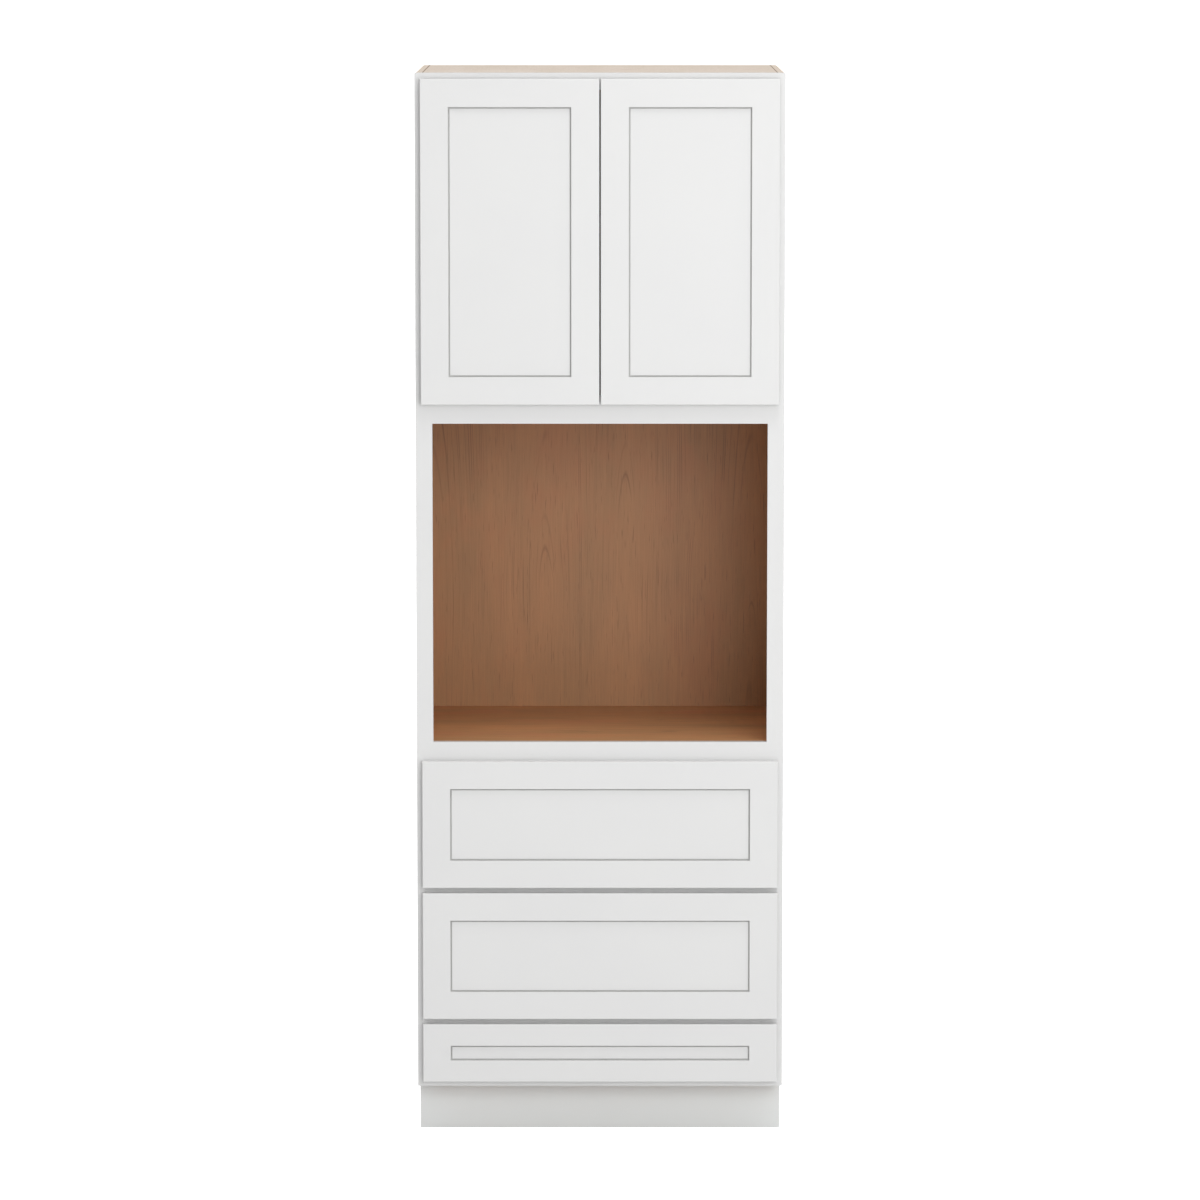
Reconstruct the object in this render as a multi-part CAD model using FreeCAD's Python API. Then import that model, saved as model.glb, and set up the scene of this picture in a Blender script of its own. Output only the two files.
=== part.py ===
import FreeCAD, Part
import os

# Overall cabinet, in millimetres: front towards -Y, origin on the floor under the middle of the box
WIDTH = 838.2
HEIGHT = 2438.4
BOX_DEPTH = 609.6

# Face frame
FRAME_THICK = 19.05
STILE_WIDTH = 38.1
TOP_RAIL = 38.1
OVEN_RAIL = 63.5
DRAWER_RAIL = 38.1
BOTTOM_RAIL = 38.1
FRAME_OVERHANG = 3.2
TENON_LENGTH = 10.0
TENON_THICK = 6.35
TENON_SHOULDER = 6.0
TENON_END_GAP = 0.5

# Boards of the box
SIDE_THICK = 16.0
TOP_THICK = 16.0
TOP_TONGUE = 8.0
DECK_THICK = 19.05
DADO_DEPTH = 6.0
BACK_THICK = 6.0
NAILER_THICK = 12.7
NAILER_HEIGHT = 100.0
CLEAT_HEIGHT = 40.0
CLEAT_THICK = 19.0

# Heights of the toe kick and of the oven opening
TOE_HEIGHT = 114.3
TOE_RECESS = 76.2
TOE_SKIN = 6.0
TOE_BOARD = 16.0
OVEN_FLOOR = 914.4
OVEN_HEIGHT = 730.25

# Doors and drawer fronts
FRONT_THICK = 19.05
BUMPER_GAP = 3.0
REVEAL = 12.7
BOTTOM_REVEAL = 13.5
DOOR_GAP = 3.0
DOOR_OVERLAY = 19.05
DRAWER_OVERLAY = 21.4
DRAWER_GAP = 12.0
LOWER_FRONT = 134.5
LOWER_PANEL = 34.5
FRONT_STILE = 63.5
FRONT_RAIL = 63.5
EDGE_ROUND = 2.0
BACK_EASE = 1.0

# Panel groove of the doors and drawer fronts
GROOVE_WIDTH = 6.35
GROOVE_BACK_WALL = 4.2
GROOVE_DEPTH = 9.5
PANEL_FLOAT = 0.8
TONGUE_GAP = 0.5
FIELD_RISE = 3.0
SHADOW_LINE = 3.5

# Cup hinges
HINGE_FROM_END = 90.0
CUP_RADIUS = 17.5
CUP_DEPTH = 12.5
CUP_WALL = 1.0
CUP_EDGE = 2.0
FLANGE_THICK = 1.0
FLANGE_WIDTH = 23.0
FLANGE_HEIGHT = 62.0
FLANGE_CORNER = 6.0
PIN_RADIUS = 1.5
PIN_HALF = 9.0
PIN_CLEARANCE = 0.1
KNUCKLE_RADIUS = 2.6
KNUCKLE_HALF = 4.0
KNUCKLE_GAP = 0.9
LUG_GAP = 0.3
ARM_THICK = 2.0
ARM_STANDOFF = 0.4
PLATE_HEIGHT = 44.0
PLATE_MARGIN = 1.5

# Door bumpers
BUMPER_RADIUS = 4.0
BUMPER_INSET = 16.0

# Adjustable shelf, with its pins and rows of pin holes
SHELF_SIDE_GAP = 1.5
SHELF_BACK_GAP = 3.0
SHELF_FRONT_GAP = 25.0
PIN_HOLE_RADIUS = 2.5
PIN_HOLE_DEPTH = 10.0
PIN_HOLE_PITCH = 32.0
PIN_HOLE_COUNT = 7
PIN_ROW_INSET = 60.0
PIN_HEAD_RADIUS = 3.5
PIN_HEAD_LENGTH = 8.0

# Drawer boxes
BOX_STOCK = 15.9
BOX_REAR_SETBACK = 6.0
BOX_LIFT = 12.7
BOX_HEADROOM = 12.7
BOX_BOTTOM = 6.35
BOX_BOTTOM_RISE = 12.0
BOX_BOTTOM_ENTRY = 6.0
BOX_BOTTOM_FLOAT = 0.5
TAIL_LENGTH = 10.0
TAIL_PITCH = 32.0
TAIL_SHARE = 0.55
TAIL_SLOPE = 0.15

# Three-member drawer slides
SLIDE_THICK = 12.7
SLIDE_HEIGHT = 45.7
SLIDE_SETBACK = 3.0
SLIDE_REAR_GAP = 54.5
SLIDE_RISE = 34.0
SLIDE_GAUGE = 1.2
RUNNING_GAP = 0.5
CLEAT_MARGIN = 4.0

# Planes from front to back
Y_FRONT = -(BOX_DEPTH + BUMPER_GAP + FRONT_THICK) / 2
Y_DOOR_BACK = Y_FRONT + FRONT_THICK
Y_FRAME = Y_DOOR_BACK + BUMPER_GAP
Y_FRAME_BACK = Y_FRAME + FRAME_THICK
Y_REAR = Y_FRAME + BOX_DEPTH
Y_BACK_REAR = Y_REAR - NAILER_THICK
Y_BACK_FACE = Y_BACK_REAR - BACK_THICK
Y_TOE = Y_FRAME + TOE_RECESS
Y_TOE_BACK = Y_TOE + TOE_SKIN
Y_GROOVE_BACK = Y_DOOR_BACK - GROOVE_BACK_WALL
Y_GROOVE = Y_GROOVE_BACK - GROOVE_WIDTH
Y_FIELD = Y_GROOVE - FIELD_RISE

# Planes from the middle outwards
X_FRAME = WIDTH / 2
X_OPEN = X_FRAME - STILE_WIDTH
X_BOX = X_FRAME - FRAME_OVERHANG
X_INNER = X_BOX - SIDE_THICK
X_DADO = X_INNER + DADO_DEPTH
X_FRONT = X_FRAME - REVEAL

# Levels from the floor up
Z_BOTTOM = TOE_HEIGHT + BOTTOM_RAIL
Z_BOTTOM_UNDER = Z_BOTTOM - DECK_THICK
Z_LOWER = TOE_HEIGHT + BOTTOM_REVEAL
Z_UPPER_TOP = OVEN_FLOOR - OVEN_RAIL + DRAWER_OVERLAY
DEEP_FRONT = (Z_UPPER_TOP - Z_LOWER - LOWER_FRONT) / 2 - DRAWER_GAP
Z_MIDDLE = Z_LOWER + LOWER_FRONT + DRAWER_GAP
Z_UPPER = Z_MIDDLE + DEEP_FRONT + DRAWER_GAP
Z_LOWER_RAIL = Z_MIDDLE - (DRAWER_GAP + DRAWER_RAIL) / 2
Z_UPPER_RAIL = Z_UPPER - (DRAWER_GAP + DRAWER_RAIL) / 2
Z_OVEN_TOP = OVEN_FLOOR + OVEN_HEIGHT
Z_CUPBOARD = Z_OVEN_TOP + OVEN_RAIL
Z_DOOR = Z_CUPBOARD - DOOR_OVERLAY
Z_DOOR_TOP = HEIGHT - REVEAL
Z_TOP_UNDER = HEIGHT - TOP_THICK
Z_PIN_ROW = (Z_CUPBOARD + Z_TOP_UNDER - (PIN_HOLE_COUNT - 1) * PIN_HOLE_PITCH) / 2
Z_SHELF_PIN = Z_PIN_ROW + (PIN_HOLE_COUNT // 2) * PIN_HOLE_PITCH

DEPTHWAYS = FreeCAD.Vector(0, 1, 0)
UPWARDS = FreeCAD.Vector(0, 0, 1)
SIDEWAYS = FreeCAD.Vector(1, 0, 0)


def box(x0, x1, y0, y1, z0, z1):
    corner = FreeCAD.Vector(x0, y0, z0)
    return Part.makeBox(x1 - x0, y1 - y0, z1 - z0, corner)


def rod(radius, length, x, y, z, along):
    return Part.makeCylinder(radius, length, FreeCAD.Vector(x, y, z), along)


def joined(first, others):
    return first.fuse(others).removeSplitter()


def mirrored(shapes):
    return [s.mirror(FreeCAD.Vector(0, 0, 0), SIDEWAYS) for s in shapes]


def save(node, solids):
    shape = solids[0] if len(solids) == 1 else Part.makeCompound(solids)
    shape.exportStep("parts/" + node + ".step")


def edges_at(shape, y):
    return [e for e in shape.Edges if all(abs(v.Y - y) < 1e-6 for v in e.Vertexes)]


# Face frame: rails with stub tenons in mortised stiles

def frame_rail(z0, z1):
    shoulder = box(-X_OPEN, X_OPEN, Y_FRAME, Y_FRAME_BACK, z0, z1)
    return joined(shoulder, [rail_tenon(z0, z1, 0.0)])


def rail_tenon(z0, z1, end_gap):
    reach = X_OPEN + TENON_LENGTH + end_gap
    y0 = Y_FRAME + (FRAME_THICK - TENON_THICK) / 2
    return box(-reach, reach, y0, y0 + TENON_THICK, z0 + TENON_SHOULDER, z1 - TENON_SHOULDER)


def frame_stile(rails):
    stile = box(-X_FRAME, -X_OPEN, Y_FRAME, Y_FRAME_BACK, TOE_HEIGHT, HEIGHT)
    return stile.cut([rail_tenon(z0, z1, TENON_END_GAP) for z0, z1 in rails])


def build_frame():
    rails = {
        "frame_bottom_rail": (TOE_HEIGHT, Z_BOTTOM),
        "frame_lower_drawer_rail": (Z_LOWER_RAIL, Z_LOWER_RAIL + DRAWER_RAIL),
        "frame_upper_drawer_rail": (Z_UPPER_RAIL, Z_UPPER_RAIL + DRAWER_RAIL),
        "frame_lower_oven_rail": (OVEN_FLOOR - OVEN_RAIL, OVEN_FLOOR),
        "frame_upper_oven_rail": (Z_OVEN_TOP, Z_CUPBOARD),
        "frame_top_rail": (HEIGHT - TOP_RAIL, HEIGHT),
    }
    for node, span in rails.items():
        save(node, [frame_rail(*span)])
    stile = frame_stile(rails.values())
    save("frame_left_stile", [stile])
    save("frame_right_stile", mirrored([stile]))


# Box: sides, decks let into the sides, back, nailers, cleats and toe kick

def shelf_rows():
    return (Y_FRAME_BACK + PIN_ROW_INSET, Y_BACK_FACE - PIN_ROW_INSET)


def top_tongue(reach):
    return box(-reach, reach, Y_FRAME_BACK, Y_REAR, Z_TOP_UNDER, Z_TOP_UNDER + TOP_TONGUE)


def deck(z_top, y_rear):
    return box(-X_DADO, X_DADO, Y_FRAME_BACK, y_rear, z_top - DECK_THICK, z_top)


def back_board():
    return box(-X_DADO, X_DADO, Y_BACK_FACE, Y_BACK_REAR, Z_BOTTOM, Z_TOP_UNDER)


def side_panel():
    panel = box(-X_BOX, -X_INNER, Y_FRAME_BACK, Y_REAR, 0, HEIGHT)
    notch = box(-X_BOX, -X_INNER, Y_FRAME_BACK, Y_TOE_BACK, 0, TOE_HEIGHT)
    grooves = [
        top_tongue(X_DADO),
        deck(Z_CUPBOARD, Y_BACK_FACE),
        deck(OVEN_FLOOR, Y_BACK_FACE),
        deck(Z_BOTTOM, Y_REAR),
        back_board(),
    ]
    levels = [Z_PIN_ROW + i * PIN_HOLE_PITCH for i in range(PIN_HOLE_COUNT)]
    x_hole = -X_INNER - PIN_HOLE_DEPTH
    holes = [
        rod(PIN_HOLE_RADIUS, PIN_HOLE_DEPTH, x_hole, y, z, SIDEWAYS)
        for y in shelf_rows()
        for z in levels
    ]
    return panel.cut([notch] + grooves + holes)


def shelf_pin(y):
    x_hole = -X_INNER - PIN_HOLE_DEPTH
    shank = rod(PIN_HOLE_RADIUS, PIN_HOLE_DEPTH, x_hole, y, Z_SHELF_PIN, SIDEWAYS)
    head = rod(PIN_HEAD_RADIUS, PIN_HEAD_LENGTH, -X_INNER, y, Z_SHELF_PIN, SIDEWAYS)
    return joined(shank, [head])


def build_box():
    side = side_panel()
    save("left_side_panel", [side])
    save("right_side_panel", mirrored([side]))
    top = box(-X_INNER, X_INNER, Y_FRAME_BACK, Y_REAR, Z_TOP_UNDER, HEIGHT)
    save("top_panel", [joined(top, [top_tongue(X_DADO)])])
    save("cupboard_floor", [deck(Z_CUPBOARD, Y_BACK_FACE)])
    save("oven_deck", [deck(OVEN_FLOOR, Y_BACK_FACE)])
    save("bottom_panel", [deck(Z_BOTTOM, Y_REAR)])
    save("back_panel", [back_board()])

    nailer_levels = (
        Z_BOTTOM,
        OVEN_FLOOR - NAILER_HEIGHT,
        Z_CUPBOARD,
        Z_TOP_UNDER - NAILER_HEIGHT,
    )
    nailers = [
        box(-X_INNER, X_INNER, Y_BACK_REAR, Y_REAR, z, z + NAILER_HEIGHT)
        for z in nailer_levels
    ]
    save("back_nailers", nailers)

    z_cleat = OVEN_FLOOR - DECK_THICK
    x_cleat = -X_INNER + CLEAT_THICK
    cleat = box(-X_INNER, x_cleat, Y_FRAME_BACK, Y_BACK_FACE, z_cleat - CLEAT_HEIGHT, z_cleat)
    save("oven_deck_cleats", [cleat] + mirrored([cleat]))

    y_board = Y_TOE_BACK + TOE_BOARD
    save("toe_kick_board", [box(-X_INNER, X_INNER, Y_TOE_BACK, y_board, 0, Z_BOTTOM_UNDER)])
    save("toe_kick_skin", [box(-X_BOX, X_BOX, Y_TOE, Y_TOE_BACK, 0, TOE_HEIGHT)])

    x_shelf = X_INNER - SHELF_SIDE_GAP
    y_shelf = Y_FRAME_BACK + SHELF_FRONT_GAP
    z_shelf = Z_SHELF_PIN + PIN_HEAD_RADIUS
    y_shelf_rear = Y_BACK_FACE - SHELF_BACK_GAP
    shelf = box(-x_shelf, x_shelf, y_shelf, y_shelf_rear, z_shelf, z_shelf + DECK_THICK)
    save("adjustable_shelf", [shelf])
    pins = [shelf_pin(y) for y in shelf_rows()]
    save("shelf_pins", pins + mirrored(pins))


# Five-piece doors and drawer fronts: stiles and rails grooved for a recessed flat panel

def eased_blank(x0, x1, z0, z1):
    blank = box(x0, x1, Y_FRONT, Y_DOOR_BACK, z0, z1)
    blank = blank.makeFillet(EDGE_ROUND, edges_at(blank, Y_FRONT))
    return blank.makeChamfer(BACK_EASE, edges_at(blank, Y_DOOR_BACK))


def five_piece(x0, x1, z0, z1, rail):
    blank = eased_blank(x0, x1, z0, z1)
    xa, xb = x0 + FRONT_STILE, x1 - FRONT_STILE
    za, zb = z0 + rail, z1 - rail

    stile_groove = box(xa - GROOVE_DEPTH, xb + GROOVE_DEPTH, Y_GROOVE, Y_GROOVE_BACK, z0, z1)
    stiles = [
        blank.common(box(a, b, Y_FRONT, Y_DOOR_BACK, z0, z1)).cut(stile_groove)
        for a, b in ((x0, xa), (xb, x1))
    ]

    reach = GROOVE_DEPTH - TONGUE_GAP
    rail_groove = box(
        xa - GROOVE_DEPTH, xb + GROOVE_DEPTH, Y_GROOVE, Y_GROOVE_BACK,
        za - GROOVE_DEPTH, zb + GROOVE_DEPTH,
    )
    rails = []
    for a, b in ((z0, za), (zb, z1)):
        body = blank.common(box(xa, xb, Y_FRONT, Y_DOOR_BACK, a, b))
        tongue = box(xa - reach, xb + reach, Y_GROOVE, Y_GROOVE_BACK, a, b)
        rails.append(joined(body, [tongue]).cut(rail_groove))

    hold = GROOVE_DEPTH - PANEL_FLOAT
    tongue = box(xa - hold, xb + hold, Y_GROOVE, Y_GROOVE_BACK, za - hold, zb + hold)
    field = box(
        xa + SHADOW_LINE, xb - SHADOW_LINE, Y_FIELD, Y_GROOVE,
        za + SHADOW_LINE, zb - SHADOW_LINE,
    )
    return stiles, rails, joined(tongue, [field])


# Cup hinges: cup and pin ride on the door, the arm is screwed to the frame stile

X_PIN = -X_FRONT + CUP_EDGE + CUP_WALL + KNUCKLE_GAP + KNUCKLE_RADIUS
Y_PIN = Y_DOOR_BACK - CUP_DEPTH + CUP_WALL + KNUCKLE_GAP + KNUCKLE_RADIUS
X_CUP = -X_FRONT + CUP_EDGE + CUP_RADIUS


def cup_bore(z):
    return rod(CUP_RADIUS, CUP_DEPTH, X_CUP, Y_DOOR_BACK - CUP_DEPTH, z, DEPTHWAYS)


def hinge_pin(z):
    return rod(PIN_RADIUS, 2 * PIN_HALF, X_PIN, Y_PIN, z - PIN_HALF, UPWARDS)


def hinge_cup(z):
    y_floor = Y_DOOR_BACK - CUP_DEPTH + CUP_WALL
    y_flange = Y_DOOR_BACK + FLANGE_THICK
    pocket = rod(CUP_RADIUS - CUP_WALL, y_flange - y_floor, X_CUP, y_floor, z, DEPTHWAYS)
    flange = box(
        X_CUP - FLANGE_WIDTH / 2, X_CUP + FLANGE_WIDTH / 2, Y_DOOR_BACK, y_flange,
        z - FLANGE_HEIGHT / 2, z + FLANGE_HEIGHT / 2,
    )
    corners = [e for e in flange.Edges if abs(e.Length - FLANGE_THICK) < 1e-6]
    flange = flange.makeFillet(FLANGE_CORNER, corners)
    bore = cup_bore(z)
    shell = joined(bore, [flange]).cut(pocket)
    lugs = []
    for z0, z1 in ((KNUCKLE_HALF + LUG_GAP, PIN_HALF), (-PIN_HALF, -KNUCKLE_HALF - LUG_GAP)):
        lug = box(
            X_PIN - KNUCKLE_RADIUS, X_PIN + KNUCKLE_RADIUS, y_floor - CUP_WALL / 2,
            Y_PIN + KNUCKLE_RADIUS, z + z0, z + z1,
        )
        lugs.append(lug.common(bore))
    return joined(shell, lugs).cut(hinge_pin(z))


def hinge_arm(z):
    z0, z1 = z - KNUCKLE_HALF, z + KNUCKLE_HALF
    knuckle = rod(KNUCKLE_RADIUS, 2 * KNUCKLE_HALF, X_PIN, Y_PIN, z0, UPWARDS)
    eye = rod(PIN_RADIUS + PIN_CLEARANCE, 2 * KNUCKLE_HALF, X_PIN, Y_PIN, z0, UPWARDS)
    y_low = Y_PIN - ARM_THICK / 2
    x_riser = -X_OPEN + ARM_STANDOFF
    x_riser_far = x_riser + ARM_THICK
    y_end = Y_FRAME_BACK - PLATE_MARGIN
    finger = box(X_PIN, x_riser_far, y_low, y_low + ARM_THICK, z0, z1)
    riser = box(x_riser, x_riser_far, y_low, y_end, z0, z1)
    plate = box(
        -X_OPEN, x_riser_far, Y_FRAME + PLATE_MARGIN, y_end,
        z - PLATE_HEIGHT / 2, z + PLATE_HEIGHT / 2,
    )
    return joined(knuckle, [finger, riser, plate]).cut(eye)


def door_bumper(z):
    x = -DOOR_GAP / 2 - BUMPER_INSET
    return rod(BUMPER_RADIUS, BUMPER_GAP, x, Y_DOOR_BACK, z, DEPTHWAYS)


def build_doors():
    stiles, rails, panel = five_piece(-X_FRONT, -DOOR_GAP / 2, Z_DOOR, Z_DOOR_TOP, FRONT_RAIL)
    levels = (Z_DOOR + HINGE_FROM_END, Z_DOOR_TOP - HINGE_FROM_END)
    stiles[0] = stiles[0].cut([cup_bore(z) for z in levels])
    z_top_bumper = (Z_DOOR_TOP + HEIGHT - TOP_RAIL) / 2
    pieces = {
        "door_stiles": stiles,
        "door_rails": rails,
        "door_panel": [panel],
        "door_hinge_cups": [hinge_cup(z) for z in levels],
        "door_hinge_pins": [hinge_pin(z) for z in levels],
        "door_bumpers": [door_bumper(z) for z in ((Z_DOOR + Z_CUPBOARD) / 2, z_top_bumper)],
    }
    for name, solids in pieces.items():
        save("left_" + name, solids)
        save("right_" + name, mirrored(solids))
    arms = [hinge_arm(z) for z in levels]
    save("hinge_arms", arms + mirrored(arms))


# Drawers: dovetailed box behind a five-piece front, on three-member slides

X_DRAWER = X_OPEN - SLIDE_THICK
Y_SLIDE = Y_FRAME + SLIDE_SETBACK
Y_SLIDE_REAR = Y_BACK_FACE - SLIDE_REAR_GAP
Y_BOX_REAR = Y_SLIDE_REAR - BOX_REAR_SETBACK


def dovetails(z0, height, y_shoulder, outwards):
    count = max(1, int(height // TAIL_PITCH))
    pitch = height / count
    y_end = y_shoulder + outwards * TAIL_LENGTH
    narrow = pitch * TAIL_SHARE / 2
    wide = narrow + TAIL_LENGTH * TAIL_SLOPE
    tails = []
    for i in range(count):
        z = z0 + (i + 0.5) * pitch
        outline = [
            FreeCAD.Vector(-X_DRAWER, y, z + dz)
            for y, dz in (
                (y_shoulder, -narrow), (y_end, -wide), (y_end, wide),
                (y_shoulder, narrow), (y_shoulder, -narrow),
            )
        ]
        tails.append(Part.Face(Part.makePolygon(outline)).extrude(SIDEWAYS * BOX_STOCK))
    return tails


def drawer_box(z0, height):
    x_in = X_DRAWER - BOX_STOCK
    y_in, y_in_rear = Y_DOOR_BACK + BOX_STOCK, Y_BOX_REAR - BOX_STOCK
    z1 = z0 + height
    front_tails = dovetails(z0, height, y_in, -1)
    rear_tails = dovetails(z0, height, y_in_rear, 1)
    tails = front_tails + rear_tails
    side = joined(box(-X_DRAWER, -x_in, y_in, y_in_rear, z0, z1), tails)

    z_floor = z0 + BOX_BOTTOM_RISE
    spread = [BOX_BOTTOM_ENTRY, BOX_BOTTOM_ENTRY - BOX_BOTTOM_FLOAT]
    groove, floor = [
        box(-x_in - s, x_in + s, y_in - s, y_in_rear + s, z_floor, z_floor + BOX_BOTTOM)
        for s in spread
    ]
    side = side.cut(groove)
    sockets = tails + mirrored(tails) + [groove]
    ends = [
        box(-X_DRAWER, X_DRAWER, y, y + BOX_STOCK, z0, z1).cut(sockets)
        for y in (Y_DOOR_BACK, y_in_rear)
    ]
    return [side] + mirrored([side]), ends, [floor]


def channel(x_web, x_lip, half, z):
    """A rolled C section, from its web at x_web to its lips at x_lip."""
    x_face = x_web + (SLIDE_GAUGE if x_lip > x_web else -SLIDE_GAUGE)
    clear = half - SLIDE_GAUGE
    outline = [
        FreeCAD.Vector(x, Y_SLIDE, z + dz)
        for x, dz in (
            (x_web, -half), (x_lip, -half), (x_lip, -clear), (x_face, -clear),
            (x_face, clear), (x_lip, clear), (x_lip, half), (x_web, half), (x_web, -half),
        )
    ]
    section = Part.Face(Part.makePolygon(outline))
    bar = section.extrude(DEPTHWAYS * (Y_SLIDE_REAR - Y_SLIDE))
    bends = [
        e for e in bar.Edges
        if all(abs(v.X - x_web) < 1e-6 for v in e.Vertexes) and abs(e.tangentAt(e.FirstParameter).y) > 0.5
    ]
    return bar.makeFillet(SLIDE_GAUGE, bends)


def slide_members(z):
    step = SLIDE_GAUGE + RUNNING_GAP
    half = SLIDE_HEIGHT / 2
    x_in = -X_DRAWER
    cabinet = channel(-X_OPEN, x_in - 2 * step, half, z)
    middle = channel(-X_OPEN + step, x_in - step, half - step, z)
    drawer = channel(x_in, -X_OPEN + 2 * step, half - 2 * step, z)
    return cabinet, middle, drawer


def build_drawers():
    lower_rail = (LOWER_FRONT - LOWER_PANEL) / 2
    drawers = {
        "lower": (Z_LOWER, LOWER_FRONT, lower_rail, Z_BOTTOM, Z_LOWER_RAIL),
        "middle": (Z_MIDDLE, DEEP_FRONT, FRONT_RAIL, Z_LOWER_RAIL + DRAWER_RAIL, Z_UPPER_RAIL),
        "upper": (
            Z_UPPER, DEEP_FRONT, FRONT_RAIL, Z_UPPER_RAIL + DRAWER_RAIL, OVEN_FLOOR - OVEN_RAIL,
        ),
    }
    cabinet_members, cleats = [], []
    for name, (z_front, front, rail, z_open, z_open_top) in drawers.items():
        stiles, rails, panel = five_piece(-X_FRONT, X_FRONT, z_front, z_front + front, rail)
        z_box = z_open + BOX_LIFT
        sides, ends, floor = drawer_box(z_box, z_open_top - BOX_HEADROOM - z_box)
        z_slide = z_box + SLIDE_RISE
        cabinet, middle, drawer = slide_members(z_slide)
        node = name + "_drawer_"
        save(node + "front_stiles", stiles)
        save(node + "front_rails", rails)
        save(node + "front_panel", [panel])
        save(node + "box_sides", sides)
        save(node + "box_ends", ends)
        save(node + "box_bottom", floor)
        save(node + "slide_runners", [drawer] + mirrored([drawer]))
        save(name + "_slide_middle_members", [middle] + mirrored([middle]))
        cabinet_members += [cabinet] + mirrored([cabinet])
        reach = SLIDE_HEIGHT / 2 + CLEAT_MARGIN
        cleat = box(
            -X_INNER, -X_OPEN, Y_FRAME_BACK, Y_BACK_FACE, z_slide - reach, z_slide + reach,
        )
        cleats += [cleat] + mirrored([cleat])
    save("slide_cabinet_members", cabinet_members)
    save("slide_cleats", cleats)


os.makedirs("parts", exist_ok=True)
build_frame()
build_box()
build_doors()
build_drawers()
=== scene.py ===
"""White face-frame oven cabinet: finishes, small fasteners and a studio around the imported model."""

import logging
import math
from abc import ABC, abstractmethod
from collections.abc import Iterable
from dataclasses import dataclass
from enum import Enum
from typing import Any

import bmesh
import bpy
from mathutils import Matrix, Vector


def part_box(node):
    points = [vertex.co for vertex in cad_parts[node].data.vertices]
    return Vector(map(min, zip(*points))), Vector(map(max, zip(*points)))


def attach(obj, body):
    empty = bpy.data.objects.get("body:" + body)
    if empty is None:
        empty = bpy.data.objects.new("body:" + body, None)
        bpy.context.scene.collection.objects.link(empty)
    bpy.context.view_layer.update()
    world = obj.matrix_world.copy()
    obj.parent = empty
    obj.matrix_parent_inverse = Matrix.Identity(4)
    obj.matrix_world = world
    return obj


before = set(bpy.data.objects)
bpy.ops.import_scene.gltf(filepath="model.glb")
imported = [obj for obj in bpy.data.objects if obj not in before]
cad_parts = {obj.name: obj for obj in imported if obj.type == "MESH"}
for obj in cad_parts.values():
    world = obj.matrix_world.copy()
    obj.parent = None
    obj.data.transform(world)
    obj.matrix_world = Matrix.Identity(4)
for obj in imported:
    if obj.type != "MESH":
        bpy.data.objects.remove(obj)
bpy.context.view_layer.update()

LOG = logging.getLogger("oven_cabinet")
MM = 0.001
FULL_TURN = 2 * math.pi
WHITE = (1.0, 1.0, 1.0, 1.0)
TO_WALL = Vector((0.0, 1.0, 0.0))
HINGE_FROM_END = 90.0 * MM
# Vertices nearer than this become one.
WELD = 1e-6
# Octaves of noise: a smooth cloud, and one with finer grain in it.
SMOOTH = 1.0
FINE = 2.0
# The value that noise swings about.
NOISE_MIDDLE = 0.5
# Blender's wave texture multiplies its coordinate by this.
WAVE_FACTOR = 20
# The sRGB curve: a straight foot up to its knee, then a power.
SRGB_KNEE = 0.04045
SRGB_FOOT = 12.92
SRGB_LIFT = 0.055
SRGB_POWER = 2.4

Socket = bpy.types.NodeSocket
Outputs = bpy.types.NodeOutputs
Tree = bpy.types.ShaderNodeTree


class Axis(Enum):
    """A direction of the cabinet: across its front, from front to back, and upwards."""

    ACROSS = "X"
    DEEP = "Y"
    UP = "Z"


class Side(Enum):
    """Left or right of the middle, as seen from the front, with the sign of X there."""

    LEFT = -1
    RIGHT = 1

    @property
    def word(self) -> str:
        """The word that node names use for this side."""
        return self.name.lower()


def linear(code: str) -> tuple[float, float, float, float]:
    """Turns an sRGB hex colour into the linear colour that a shader takes.

    Args:
        code: the colour as #RRGGBB.

    Returns:
        Linear red, green and blue, and an alpha of one.
    """
    parts = [int(code[at:at + 2], 16) / 255 for at in (1, 3, 5)]
    red, green, blue = (
        p / SRGB_FOOT if p <= SRGB_KNEE else ((p + SRGB_LIFT) / (1 + SRGB_LIFT)) ** SRGB_POWER
        for p in parts
    )
    return red, green, blue, 1.0


def per_metre(size_mm: float) -> float:
    """Tells how often a pattern of this size in millimetres repeats in a metre."""
    return 1 / (size_mm * MM)


def add(tree: Tree, kind: str, feeds: dict[Any, Any] | None = None, **settings: Any) -> bpy.types.Node:
    """Adds a node to a tree, with its settings, constants and links.

    Args:
        tree: the node tree of a material or world.
        kind: Blender's own name of the node type.
        feeds: for each input, by name or number, a constant or the output socket to link.
        settings: attributes of the node itself.

    Returns:
        The new node.
    """
    node = tree.nodes.new(kind)
    for name, value in settings.items():
        setattr(node, name, value)
    for name, value in (feeds or {}).items():
        if isinstance(value, bpy.types.NodeSocket):
            tree.links.new(value, node.inputs[name])
        else:
            node.inputs[name].default_value = value
    return node


@dataclass(frozen=True)
class Look:
    """What a finish gives its shader: the sockets of colour, roughness and relief, and its glow."""

    colour: Socket
    roughness: Socket
    height: Socket
    glow: Socket | float = 0.0

    def under(self, tree: Tree, other: "Look", share: Socket) -> "Look":
        """Lays another look over this one.

        Args:
            tree: the node tree.
            other: the look on top.
            share: how much of the other shows, from 0 to 1.

        Returns:
            The mixed look.
        """
        colour = add(tree, "ShaderNodeMix", {0: share, 6: self.colour, 7: other.colour}, data_type="RGBA")
        rough = add(tree, "ShaderNodeMix", {0: share, 2: self.roughness, 3: other.roughness})
        height = add(tree, "ShaderNodeMix", {0: share, 2: self.height, 3: other.height})
        return Look(colour.outputs[2], rough.outputs[0], height.outputs[0])


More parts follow.
